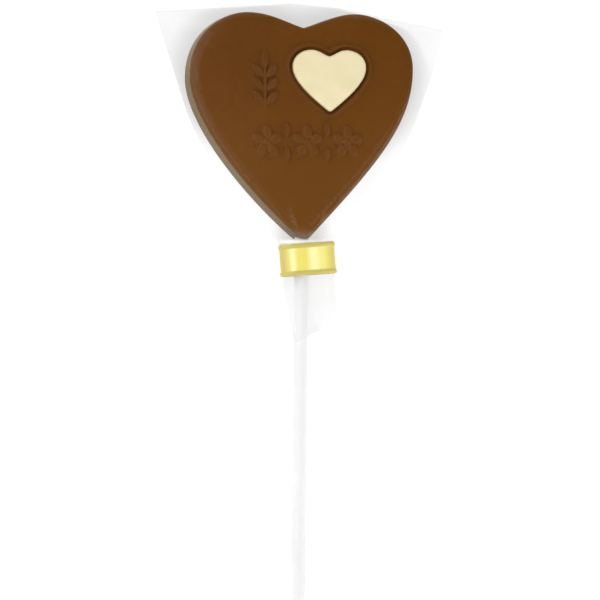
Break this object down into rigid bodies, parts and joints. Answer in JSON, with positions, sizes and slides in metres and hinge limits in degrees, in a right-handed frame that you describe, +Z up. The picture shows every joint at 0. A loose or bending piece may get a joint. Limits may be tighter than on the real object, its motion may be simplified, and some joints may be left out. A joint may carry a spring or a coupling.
{
  "type": "chocolate lollipop",
  "caption": "Milk chocolate heart with a white chocolate heart and raised flowers on its face, on a lolly stick, in a clear film bag tied at the neck with a gold band.",
  "frame": {"origin": "middle of the lollipop as it lies, on the surface that it lies on", "axes": "+Z up from that surface through the shown face of the heart, +Y along the stick towards the heart's lobes, +X across the heart to the right of the shown face"},
  "size_m": [0.095, 0.1946, 0.0107],
  "materials": {
    "milk_chocolate": "moulded milk chocolate with a soft satin shine",
    "white_chocolate": "moulded white chocolate, smooth and nearly matt",
    "stick_white": "smooth white lolly stick, satin",
    "clear_film": "thin clear crinkled film, glossy",
    "gold": "bright gold metallised band, polished"
  },
  "bodies": {
    "root": {"milk_chocolate_heart": "milk_chocolate", "white_chocolate_heart": "white_chocolate", "stick": "stick_white", "film_bag": "clear_film", "gold_band": "gold"}
  },
  "joints": []
}
